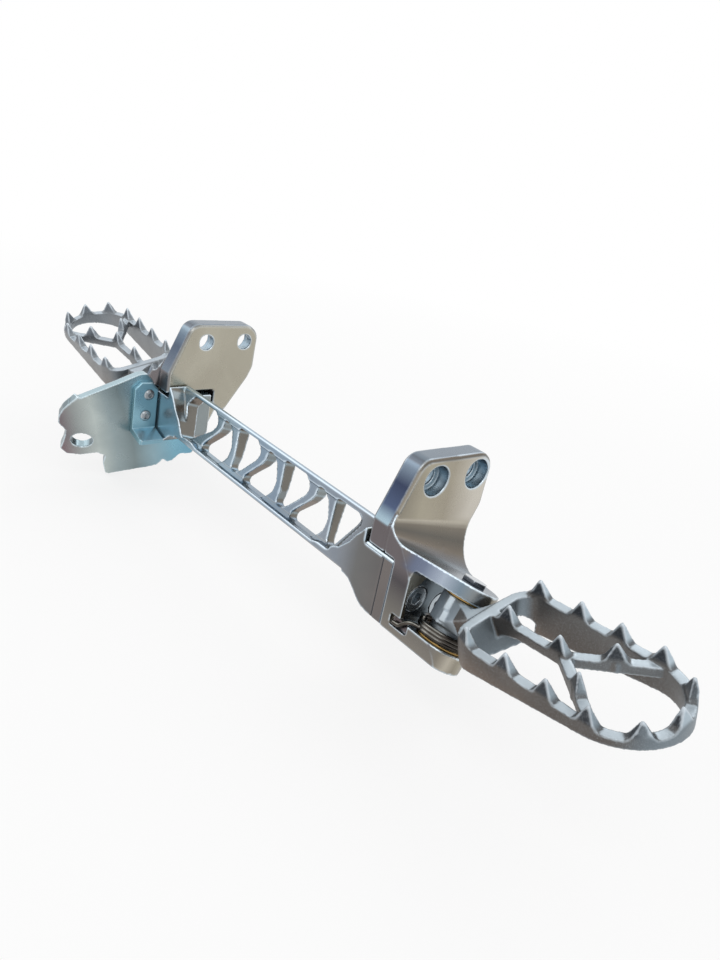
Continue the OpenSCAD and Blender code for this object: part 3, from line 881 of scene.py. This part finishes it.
@dataclass
class Bracket:
    """A machined bracket: upright, sweep and the two ears that hold the pin.

    Its places and reaches are in millimetres, given for the right end.
    """

    side: Side
    bolt_places: tuple[float, float] = (-15.0, 15.0)
    bore_reach: float = 9.1
    bore_span: tuple[float, float] = (0.8, 12.9)
    pocket_centre: tuple[float, float, float] = (27.0, -20.0, -58.0)
    pocket_reach: float = 18.5
    pocket_span: tuple[float, float] = (-7.0, 7.0)
    ear_reach: float = 38.0
    ear_span: tuple[float, float] = (23.0, 38.0)
    ear_entry: float = 3.0
    ear_soft: float = 7.0
    skin: CastSkin = CastSkin(0.6 * MM, 2)

    def bore_tones(self) -> Tones:
        """Sets the bolt holes' painted reflections and shade: light upper and rear walls, dark
        lower walls.

        Returns:
            The tones.
        """
        return Tones(linear(96, 112, 122), (
            Facing(UP, linear(180, 200, 212), 0.2, 0.9),
            Facing(REAR, linear(150, 170, 184), 0.2, 0.9),
            Facing(DOWN, linear(66, 74, 84), 0.3, 0.9),
            Facing(self.side.way(1, 0, 0), linear(186, 200, 208), 0.8, 0.98)), RIM_HIGHLIGHT, 0.8)

    def pocket_tones(self) -> Tones:
        """Sets the cool greys of the pocket behind the hinge, darker than the bracket as painted
        shade in the recess.

        Returns:
            The tones.
        """
        return Tones(linear(104, 112, 118), (
            Facing(self.side.way(1, 0, 0), linear(110, 122, 130), 0.5, 0.9),
            Facing(UP, linear(150, 154, 150), 0.4, 0.9)), RIM_HIGHLIGHT, 0.3)

    def ear_tones(self, sweep: Gradient) -> Tones:
        """Sets painted reflections round the upper ear's rim: blue tones with a light band, darker
        below.

        Args:
            sweep: The tones of the sweep, which runs into the ear.

        Returns:
            The tones.
        """
        # Painted reflection along the rim, with a painted highlight band near 45 mm.
        colours = ((12, (96, 90, 98)), (20, (74, 80, 104)), (36, (120, 130, 152)),
                   (45, (176, 188, 204)), (53, (126, 144, 158)), (62, (150, 150, 146)))
        stops = tuple((self.side.place(at, 0, 0)[0], linear(*colour)) for at, colour in colours)
        rim = Gradient(RIGHTWARD, stops if self.side is Side.RIGHT else stops[::-1])
        return Tones(linear(104, 114, 126), (
            Facing((0.0, -1.0, 0.2), rim, 0.35, 0.8),
            Facing(self.side.way(0.75, 0.25, 0.6), sweep, 0.6, 0.8),
            Facing(UP, linear(133, 152, 166), 0.88, 0.98),
            Facing(DOWN, linear(90, 96, 102), 0.5, 0.9)), RIM_HIGHLIGHT, 0.85)

    def regions(self, sweep: Gradient) -> tuple[Region, ...]:
        """Places the stretches that have tones of their own.

        Args:
            sweep: The tones of the sweep.

        Returns:
            The bores, the upper ear and the pocket.
        """
        way, place = self.side.way, self.side.place
        bores = tuple(Region(place(0, y, 0), way(1, 0, 0), self.bore_reach * MM,
                             metres(self.bore_span), self.bore_tones()) for y in self.bolt_places)
        ear = Region(place(*PIVOT), PIN_AXIS, self.ear_reach * MM, metres(self.ear_span),
                     self.ear_tones(sweep), self.ear_entry * MM, self.ear_soft * MM)
        pocket = Region(place(*self.pocket_centre), way(1, 0, 0), self.pocket_reach * MM,
                        metres(self.pocket_span), self.pocket_tones())
        return (*bores, ear, pocket)

    def tones(self) -> Tones:
        """Sets the whole bracket's tones as painted reflections and shade: warm flats, cool edges,
        a shaded sweep and a painted highlight band on the slant.

        Returns:
            The tones.
        """
        way = self.side.way
        # Painted reflection: the outer flat turns lighter towards the front.
        warm = steps(FRONT, (-35, (150, 144, 130)), (-22, (176, 170, 152)),
                     (-4, (168, 161, 145)), (16, (206, 201, 190)))
        # Painted reflection and shade across the sweep, by how far it faces up.
        sweep = turning(UP, (0.06, (150, 144, 130)), (0.2, (190, 184, 170)),
                        (0.34, (128, 122, 112)), (0.55, (104, 101, 95)),
                        (0.75, (120, 112, 102)), (0.88, (108, 110, 114)),
                        (0.98, (133, 156, 171)))
        # The slant's painted highlight band, from -26 to -20 mm, between darker painted shade.
        slant = steps(UP, (-44, (104, 96, 98)), (-31, (76, 86, 112)), (-26, (176, 202, 216)),
                      (-20, (176, 202, 216)), (-13, (84, 98, 128)), (-2, (62, 72, 98)),
                      (12, (150, 168, 184)))
        # At the left end the slant's painted reflection is light at the bottom and top, darker
        # between.
        if self.side is Side.LEFT:
            slant = steps(UP, (-44, (158, 176, 182)), (-30, (140, 158, 170)),
                          (-16, (110, 122, 138)), (-4, (84, 98, 118)),
                          (4, (112, 130, 148)), (12, (166, 188, 202)))
        # Painted reflection on the rear wall: lighter low down, darkest near -44 mm.
        wall = steps(UP, (-88, (158, 152, 141)), (-76, (140, 134, 126)), (-60, (123, 120, 115)),
                     (-44, (84, 80, 83)), (-36, (110, 104, 106)))
        # Each face's tone is a painted reflection or painted shade by the way it faces.
        return Tones(linear(112, 122, 134), (
            Facing(way(1, 0, 0), warm, 0.2, 0.7),
            Facing(way(0.75, 0.25, 0.6), sweep, 0.3, 0.62),
            Facing(way(1, 0, 0), warm, 0.975, 0.998),
            Facing(way(-1, 0, 0), linear(181, 177, 162), 0.5, 0.95),
            Facing(UP, linear(128, 140, 152), 0.86, 0.98),
            Facing(REAR, wall, 0.6, 0.9),
            Facing((0.0, -0.9, 0.44), slant, 0.93, 0.985),
            Facing(DOWN, linear(120, 110, 100), 0.3, 0.9)), RIM_HIGHLIGHT, 0.85, self.regions(sweep))

    def build(self, shop: Workshop) -> None:
        """Dresses the bracket."""
        shop.dress(self.side.value + "_bracket", Part.FRAME, Slot.ALUMINIUM, MILLED,
                   self.tones(), self.skin)


@dataclass
class TrussBar:
    """The crossbar, the spacer at its right end and the edge over both, in millimetres."""

    skin: CastSkin = CastSkin(0.68 * MM, 2)
    spacer_edges: EdgeBreak = EdgeBreak(0.4 * MM)
    strip_start: float = -0.4
    strip_end: float = 20.3
    strip_side: float = 1.5
    end_top: float = -37.55
    end_rear: float = -40.8
    seam_centre: tuple[float, float, float] = (14.0, -26.0, -55.0)
    seam_reach: float = 40.0
    seam_span: tuple[float, float] = (-2.0, 2.0)

    def edge_strip(self) -> None:
        """Lays the broad rounded edge along the top of the bar's right end.

        The profile is a quarter disc, y = -r cos a and z = r sin a round its own corner,
        carried straight along x, and the piece is closed by its flat sides.
        """
        angle = np.linspace(0, np.pi / 2, 9)
        arc = np.stack([-np.cos(angle), np.sin(angle)], axis=1) * self.strip_side
        corner = [self.end_rear + self.strip_side, self.end_top]
        profile = np.concatenate([arc, [[0.0, 0.0]]]) + corner
        count = len(profile)
        along = np.repeat([self.strip_start, self.strip_end], count)
        points = np.column_stack([along, np.tile(profile, (2, 1))]) * MM
        near = np.arange(count)
        after = (near + 1) % count
        quads = np.stack([near, after, after + count, near + count], axis=1).tolist()
        mesh = bpy.data.meshes.new("bar_end_edge")
        mesh.from_pydata(points.tolist(), [], [*quads, near[::-1].tolist(),
                                               (near + count).tolist()])
        piece = closed_piece(mesh)
        # The rounded edge's upward rear face takes a painted highlight.
        paint(piece, Tones(linear(150, 168, 178), (
            Facing((0.0, -0.7, 0.7), linear(232, 244, 250), 0.75, 0.97),)))
        mesh.materials.append(TRUSS.material())
        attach(piece, Part.FRAME.value)
        LOG.info("%s: %d faces", piece.name, len(mesh.polygons))

    def bar_tones(self) -> Tones:
        """Sets the bar's painted reflections and shade: cool flanges that turn warm towards the
        right end.

        Returns:
            The tones, with those of the seam at the spacer.
        """
        flange = steps(RIGHTWARD, (-225, (172, 192, 200)), (-100, (142, 160, 176)),
                       (-20, (146, 152, 160)), (-4, (120, 119, 117)), (14, (112, 108, 106)))
        top = steps(RIGHTWARD, (-225, (150, 180, 196)), (-100, (120, 142, 160)),
                    (10, (128, 134, 142)))
        # The seam is darker at the joint; its rear faces take a painted reflection and its upward
        # faces a painted highlight.
        seam_tones = Tones(linear(70, 70, 74), (
            Facing(REAR, linear(118, 113, 111), 0.8, 0.97),
            Facing(UP, linear(190, 206, 216), 0.5, 0.95)))
        seam = Region(metres(self.seam_centre), RIGHTWARD, self.seam_reach * MM,
                      metres(self.seam_span), seam_tones)
        return Tones(linear(124, 120, 112), (
            Facing((0.85, -0.5, 0.0), linear(176, 196, 204), 0.8, 0.95),
            Facing(REAR, flange, 0.7, 0.95),
            Facing(UP, top, 0.5, 0.95),
            Facing(FRONT, linear(118, 128, 140), 0.6, 0.95),
            Facing(DOWN, linear(128, 110, 96), 0.3, 0.9)), RIM_HIGHLIGHT, 0.9, (seam,))

    def build(self, shop: Workshop) -> None:
        """Dresses the bar and the spacer, and adds the edge.

        Args:
            shop: The workshop.
        """
        shop.dress("crossbar", Part.FRAME, Slot.ALUMINIUM, TRUSS, self.bar_tones(), self.skin)
        self.edge_strip()
        # The spacer's tones are painted reflections: lighter on its upward faces.
        plain = Tones(linear(112, 122, 134), (
            Facing(REAR, linear(118, 112, 110), 0.8, 0.99),
            Facing(UP, linear(150, 164, 176), 0.5, 0.95)))
        shop.dress("right_spacer", Part.FRAME, Slot.ALUMINIUM, MILLED, plain, self.spacer_edges)


@dataclass
class ReturnSpring:
    """The return spring round the hub, a coil with one leg laid in the bracket's notch.

    Its sizes are in millimetres, in the pin's own axes: the second one runs along the pin.
    """

    side: Side
    wire: float = 2.3
    coil_radius: float = 13.4
    turns: int = 3
    start: float = 120.0
    low: float = 2.35
    high: float = 7.75
    per_turn: int = 28
    finer: int = 3
    sides: int = 14
    tilt: float = math.radians(65)
    leg: tuple[tuple[float, float], ...] = ((-21.4, -3.3), (-17.4, -3.0), (-16.0, -2.2),
                                            (-14.0, 0.2), (-10.4, 2.05))

    def guide(self) -> np.ndarray:
        """Sets the wire's guide points round the pin.

        The leg's points come first, all at the coil's radius in the third axis. The coil
        falls back from its start at a steady angle and rises evenly from its low to its
        high end, at one radius.

        Returns:
            The points, one row for each.
        """
        leg = np.column_stack([self.leg, np.full(len(self.leg), self.coil_radius)])
        share = np.linspace(0, 1, self.turns * self.per_turn + 1)
        angle = np.radians(self.start) - 2 * np.pi * self.turns * share
        coil = np.stack([self.coil_radius * np.cos(angle),
                         self.low + (self.high - self.low) * share,
                         self.coil_radius * np.sin(angle)], axis=1)
        return np.concatenate([leg, coil])

    def path(self) -> np.ndarray:
        """Draws a smooth curve through the guide points.

        Between two points it is the cubic that leaves and arrives along the chord of the
        neighbouring points, read at evenly spaced shares.

        Returns:
            The curve's points, one row for each.
        """
        points = self.guide()
        padded = np.concatenate([2 * points[:1] - points[1:2], points,
                                 2 * points[-1:] - points[-2:-1]])
        before, start, end, after = (padded[k:len(padded) - 3 + k, None] for k in range(4))
        t = (np.arange(self.finer) / self.finer)[None, :, None]
        cubic = 3 * (start - end) + after - before
        square = 2 * before - 5 * start + 4 * end - after
        curve = start + 0.5 * t * (end - before + t * (square + t * cubic))
        return np.concatenate([curve.reshape(-1, 3), points[-1:]])

    def mesh(self) -> bpy.types.Mesh:
        """Carries a circle along the path: point + radius (side cos a + up sin a).

        Side and up are square to the path, and a flat cap closes each end. The tube is then
        tilted with the pin, moved to the pivot and mirrored for the left end.

        Returns:
            The closed tube.
        """
        path = self.path()
        way = np.gradient(path, axis=0)
        way /= np.linalg.norm(way, axis=1)[:, None]
        side = np.cross(way, [0.0, 1.0, 0.0])
        side /= np.linalg.norm(side, axis=1)[:, None]
        up = np.cross(side, way)
        angle = np.linspace(0, 2 * np.pi, self.sides, endpoint=False)[None, :, None]
        circle = side[:, None] * np.cos(angle) + up[:, None] * np.sin(angle)
        flat = (path[:, None] + self.wire / 2 * circle).reshape(-1, 3)
        turn = np.array([[1, 0, 0], [0, math.cos(self.tilt), -math.sin(self.tilt)],
                         [0, math.sin(self.tilt), math.cos(self.tilt)]])
        placed = flat @ turn.T + np.array(PIVOT)
        if self.side is Side.LEFT:
            placed[:, 0] = MIRROR_SUM - placed[:, 0]
        ring, around = np.meshgrid(np.arange(len(path) - 1), np.arange(self.sides), indexing="ij")
        first = ring * self.sides + around
        other = ring * self.sides + (around + 1) % self.sides
        quads = np.stack([first, other, other + self.sides, first + self.sides], axis=-1)
        rim = np.arange(self.sides)
        caps = [rim[::-1].tolist(), ((len(path) - 1) * self.sides + rim).tolist()]
        mesh = bpy.data.meshes.new(self.side.value + "_spring_wire")
        mesh.from_pydata((placed * MM).tolist(), [], quads.reshape(-1, 4).tolist() + caps)
        return mesh

    def build(self, shop: Workshop) -> None:
        """Makes the wire and dresses it as dark spring steel, with a painted highlight on its upper
        faces.

        Args:
            shop: The workshop.
        """
        mesh = self.mesh()
        piece = closed_piece(mesh)
        mesh.shade_smooth()
        # Painted highlight on the wire's upward faces, painted reflection on its rear.
        tones = Tones(linear(58, 54, 50), (
            Facing((0.0, -0.55, 0.83), linear(168, 168, 162), 0.86, 0.99),
            Facing((0.0, -0.97, -0.2), linear(96, 90, 84), 0.7, 0.98)))
        shop.adopt(piece, self.side.value + "_spring", Part.FRAME, Slot.SPRING, WIRE, tones)


@dataclass
class FoldingPeg:
    """A toothed footpeg with its bush, washers, pin, screws and return spring.

    Its places and reaches are in millimetres, given for the right end.
    """

    side: Side
    hub_reach: float = 16.5
    hub_span: tuple[float, float] = (0.0, 34.0)
    ring_middle: tuple[float, float, float] = (100.0, -24.0, -48.0)
    ring_reach: float = 90.0
    teeth_span: tuple[float, float] = (13.4, 50.0)
    teeth_entry: float = 2.5
    # The left end's lift towards pale is painted light: the same peg drawn paler.
    left_lift: float = 0.42
    pale: tuple[int, int, int] = (196, 206, 216)
    skin: CastSkin = CastSkin(0.6 * MM, 3)
    thin_edges: EdgeBreak = EdgeBreak(0.2 * MM)
    head_edges: EdgeBreak = EdgeBreak(0.3 * MM)

    def shade(self, red: int, green: int, blue: int) -> tuple[float, float, float]:
        """Lifts a colour towards pale silver at the left end, as painted light: the left peg is a
        paler lit copy of the right one's tones.

        Args:
            red: Red from 0 to 255.
            green: Green from 0 to 255.
            blue: Blue from 0 to 255.

        Returns:
            The linear colour.
        """
        lift = 0.0 if self.side is Side.RIGHT else self.left_lift
        pairs = zip((red, green, blue), self.pale)
        return linear(*(int(part + (pale - part) * lift) for part, pale in pairs))

    def tooth_tones(self) -> Tones:
        """Sets the teeth's painted reflections and shade: dark faces, light where they look
        outwards.

        Returns:
            The tones.
        """
        shade = self.shade
        return Tones(shade(92, 98, 104), (
            Facing(self.side.way(0.9, -0.1, 0.4), shade(188, 204, 214), 0.5, 0.95),
            Facing(REAR, shade(60, 64, 70), 0.5, 0.92),
            Facing(FRONT, shade(128, 134, 140), 0.5, 0.95),
            Facing(UP, shade(170, 182, 190), 0.8, 0.97)), linear(226, 236, 244), 0.75)

    def hub_tones(self) -> Tones:
        """Sets the lighter, cooler tones of the cast hub: painted reflections, lightened against
        the pocket's shade, with painted shade on its front.

        Returns:
            The tones.
        """
        way, shade = self.side.way, self.shade
        return Tones(shade(166, 178, 188), (
            Facing(way(0.3, -0.9, 0.1), shade(212, 224, 232), 0.7, 0.97),
            Facing(way(-0.6, -0.8, 0), shade(180, 192, 202), 0.8, 0.98),
            Facing(UP, shade(200, 214, 224), 0.6, 0.95),
            Facing(FRONT, shade(120, 124, 128), 0.5, 0.9)), RIM_HIGHLIGHT, 0.6)

    def peg_tones(self) -> Tones:
        """Sets the blasted peg's painted reflections and shade: cool light top, warm dark walls.

        Returns:
            The tones, with those of the teeth and the hub.
        """
        way, place, shade = self.side.way, self.side.place, self.shade
        # Painted reflection on the rear walls: warm and light at the bottom, darkest near z -46 mm.
        wall = Gradient(UP, ((-0.07, shade(158, 136, 120)), (-0.058, shade(130, 114, 102)),
                             (-0.046, shade(102, 94, 88)), (-0.03, shade(106, 104, 102))))
        hub = Region(place(*PIVOT), PIN_AXIS, self.hub_reach * MM, metres(self.hub_span),
                     self.hub_tones())
        teeth = Region(place(*self.ring_middle), way(*PEG_UP), self.ring_reach * MM,
                       metres(self.teeth_span), self.tooth_tones(), self.teeth_entry * MM)
        return Tones(shade(94, 96, 98), (
            Facing((0.0, -0.97, -0.25), wall, 0.5, 0.9),
            Facing(way(1, 0, 0), shade(130, 142, 150), 0.4, 0.95),
            Facing(FRONT, shade(118, 120, 124), 0.5, 0.9),
            Facing(DOWN, shade(112, 96, 84), 0.3, 0.9),
            Facing(way(*PEG_UP), shade(190, 202, 210), 0.84, 0.97)),
            shade(214, 226, 234), 0.5, (teeth, hub))

    def build(self, shop: Workshop) -> None:
        """Dresses the peg and its hinge.

        Args:
            shop: The workshop.
        """
        name = self.side.value
        body = Part.RIGHT if self.side is Side.RIGHT else Part.LEFT
        shop.dress(name + "_peg", body, Slot.BLASTED, BLASTED, self.peg_tones(), self.skin)
        gold = Tones(linear(172, 142, 88))
        shop.dress(name + "_bush", body, Slot.BRASS, BRASS, gold, self.thin_edges)
        for place in ("top", "bottom"):
            shop.dress(f"{name}_{place}_washer", Part.FRAME, Slot.BRASS, BRASS, gold,
                       self.thin_edges)
        # The pin's upward faces take a painted highlight.
        steel = Tones(linear(110, 114, 120), (Facing(UP, linear(190, 196, 202), 0.5, 0.95),))
        shop.dress(name + "_pin", Part.FRAME, Slot.SCREW, SCREW_STEEL, steel, self.head_edges)
        ReturnSpring(self.side).build(shop)
        # The screws' outward and upward faces take painted highlights.
        screws = Tones(linear(120, 128, 134), (
            Facing(self.side.way(1, 0, 0), linear(196, 206, 212), 0.8, 0.98),
            Facing(UP, linear(214, 224, 230), 0.5, 0.95)))
        shop.dress(name + "_joint_screws", Part.FRAME, Slot.SCREW, SCREW_STEEL, screws,
                   self.head_edges)


@dataclass
class StandMount:
    """The bent stand plate, the switch tab and its two screws."""

    skin: CastSkin = CastSkin(0.6 * MM, 2)
    tab_edges: EdgeBreak = EdgeBreak(0.6 * MM, 3)
    screw_edges: EdgeBreak = EdgeBreak(0.2 * MM)

    def build(self, shop: Workshop) -> None:
        """Dresses the plate, the tab and the screws.

        Args:
            shop: The workshop.
        """
        # Painted sheen band across the plate's outer face, painted reflections on its other faces
        # and a painted highlight on rounded edges.
        sheen = steps((0.0, 0.94, 0.34), (-128, (168, 130, 138)), (-118, (136, 118, 122)),
                      (-108, (170, 174, 172)), (-98, (204, 212, 208)), (-88, (164, 178, 180)),
                      (-78, (136, 150, 152)), (-66, (156, 184, 194)), (-50, (142, 194, 214)),
                      (-30, (112, 170, 198)))
        plate = Tones(linear(128, 142, 148), (
            Facing((0.82, -0.36, -0.45), sheen, 0.4, 0.9),
            Facing((-0.82, 0.36, 0.45), linear(150, 158, 160), 0.4, 0.9),
            Facing(UP, linear(186, 208, 216), 0.5, 0.95)), linear(228, 242, 248), 0.9)
        shop.dress("stand_plate", Part.FRAME, Slot.ZINC, ZINC, plate, self.skin)
        # The tab's upward and rear faces take painted highlights.
        tab = Tones(linear(146, 188, 204), (
            Facing(UP, linear(206, 234, 244), 0.5, 0.95),
            Facing(REAR, linear(168, 210, 222), 0.6, 0.95)))
        shop.dress("switch_tab", Part.FRAME, Slot.ZINC, ZINC, tab, self.tab_edges)
        # The screws' rear faces take a painted highlight.
        screws = Tones(linear(150, 156, 160), (Facing(REAR, linear(214, 222, 226), 0.5, 0.9),))
        shop.dress("switch_screws", Part.FRAME, Slot.SCREW, SCREW_STEEL, screws,
                   self.screw_edges)


@dataclass
class Studio:
    """The plain pale floor, the white surroundings, the soft lamps and the camera."""

    eye: tuple[float, float, float] = (0.2528, -0.3035, 0.1525)
    lens: float = 30.52
    middle: tuple[float, float, float] = (-0.1, -0.03, -0.05)
    floor_drop: float = 0.002
    floor_size: float = 40.0
    floor_white: float = 0.75
    fade: tuple[float, float] = (0.45, 1.1)
    world_light: float = 0.75

    def camera(self) -> None:
        """Sets the camera to the photograph's viewing angle, from its three axes."""
        right = (0.63058042, 0.75354334, 0.18585145)
        down = (0.4169766, -0.12695987, -0.90000651)
        away = (-0.65459823, 0.64502219, -0.39426835)
        view = bpy.data.cameras.new("camera")
        view.lens = self.lens
        view.sensor_width = 36.0
        view.clip_start = 0.01
        holder = bpy.data.objects.new("camera", view)
        turn = Matrix((right, tuple(-v for v in down), tuple(-v for v in away))).transposed()
        holder.matrix_world = Matrix.Translation(self.eye) @ turn.to_4x4()
        bpy.context.scene.collection.objects.link(holder)
        bpy.context.scene.camera = holder

    def shows_white(self, sheet: Sheet) -> bpy.types.NodeSocket:
        """Marks the rays that see the background as it is: direct, mirrored or through glass.

        Args:
            sheet: The sheet of the world or the floor.

        Returns:
            1 for such a ray, else 0.
        """
        path = sheet.add("LightPath")
        seen = sheet.math("MAXIMUM", path.outputs["Is Camera Ray"], path.outputs["Is Glossy Ray"])
        return sheet.math("MAXIMUM", seen, path.outputs["Is Transmission Ray"])

    def world(self) -> None:
        """Sets even light from all round, which the camera and polished metal see as white."""
        world = bpy.data.worlds.new("studio")
        world.use_nodes = True
        world.node_tree.nodes.clear()
        sheet = Sheet(world.node_tree)
        strength = sheet.span(self.shows_white(sheet), 0.0, 1.0, self.world_light, 1.0)
        light = sheet.add("Background", None, Color=(1.0, 1.0, 1.0), Strength=strength)
        sheet.add("OutputWorld", None, Surface=light.outputs[0])
        bpy.context.scene.world = world

    def floor_paint(self) -> bpy.types.Material:
        """Mixes a matt coat that keeps shadows with the white that the camera sees.

        The share of white grows with the distance from the middle, so no horizon shows.

        Returns:
            The material.
        """
        material = bpy.data.materials.new("floor_paint")
        material.use_nodes = True
        material.node_tree.nodes.clear()
        sheet = Sheet(material.node_tree)
        coat = sheet.add("BsdfPrincipled", None, Base_Color=(0.9, 0.9, 0.9), Roughness=0.9)
        coat.inputs["Specular IOR Level"].default_value = 0.0
        glow = sheet.add("Emission", None, Color=(1.0, 1.0, 1.0), Strength=1.0)
        place = sheet.add("TexCoord").outputs["Object"]
        away = sheet.add("VectorMath", {"operation": "LENGTH"}, _0=place)
        white = sheet.span(away.outputs["Value"], *self.fade, self.floor_white, 1.0)
        share = sheet.math("MULTIPLY", self.shows_white(sheet), white)
        both = sheet.add("MixShader", None, _0=share, _1=coat.outputs[0], _2=glow.outputs[0])
        sheet.add("OutputMaterial", None, Surface=both.outputs[0])
        return material

    def floor(self) -> None:
        """Lays a plain pale floor below the lowest point of the object."""
        low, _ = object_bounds()
        half, level = self.floor_size / 2, low[2] - self.floor_drop
        corners = [(-half, -half, level), (half, -half, level),
                   (half, half, level), (-half, half, level)]
        mesh = bpy.data.meshes.new("floor")
        mesh.from_pydata(corners, [], [(0, 1, 2, 3)])
        floor = bpy.data.objects.new("floor", mesh)
        bpy.context.scene.collection.objects.link(floor)
        mesh.materials.append(self.floor_paint())
        floor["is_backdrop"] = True

    def lamp(self, name: str, spot: tuple[float, float, float], size: float,
             power: float) -> None:
        """Hangs a soft square lamp that points at the bar's middle.

        Args:
            name: The lamp's name.
            spot: Where it hangs.
            size: The length of its side.
            power: Its power in watts.
        """
        light = bpy.data.lights.new(name, "AREA")
        light.size = size
        light.energy = power
        holder = bpy.data.objects.new(name, light)
        bpy.context.scene.collection.objects.link(holder)
        away = np.array(spot) - np.array(self.middle)
        away = away / np.linalg.norm(away)
        side = np.cross([0.0, 0.0, 1.0], away)
        side = side / np.linalg.norm(side)
        turn = Matrix((side, np.cross(away, side), away)).transposed()
        holder.matrix_world = Matrix.Translation(spot) @ turn.to_4x4()

    def build(self) -> None:
        """Sets the whole studio."""
        bpy.context.scene.view_settings.view_transform = "Standard"
        self.camera()
        self.world()
        self.floor()
        self.lamp("key", (0.5, -0.6, 0.9), 0.7, 2.5)
        self.lamp("fill", (-0.9, -0.5, 0.6), 0.9, 1.5)
        self.lamp("rim", (-0.2, 0.9, 0.8), 0.8, 2.0)


def main() -> None:
    """Builds every sub-assembly around the frame."""
    logging.basicConfig(level=logging.INFO, format="%(name)s: %(message)s")
    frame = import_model()
    shop = Workshop(frame)
    Studio().build()
    for side in Side:
        Bracket(side).build(shop)
        FoldingPeg(side).build(shop)
    TrussBar().build(shop)
    StandMount().build(shop)


if __name__ == "__main__":
    main()
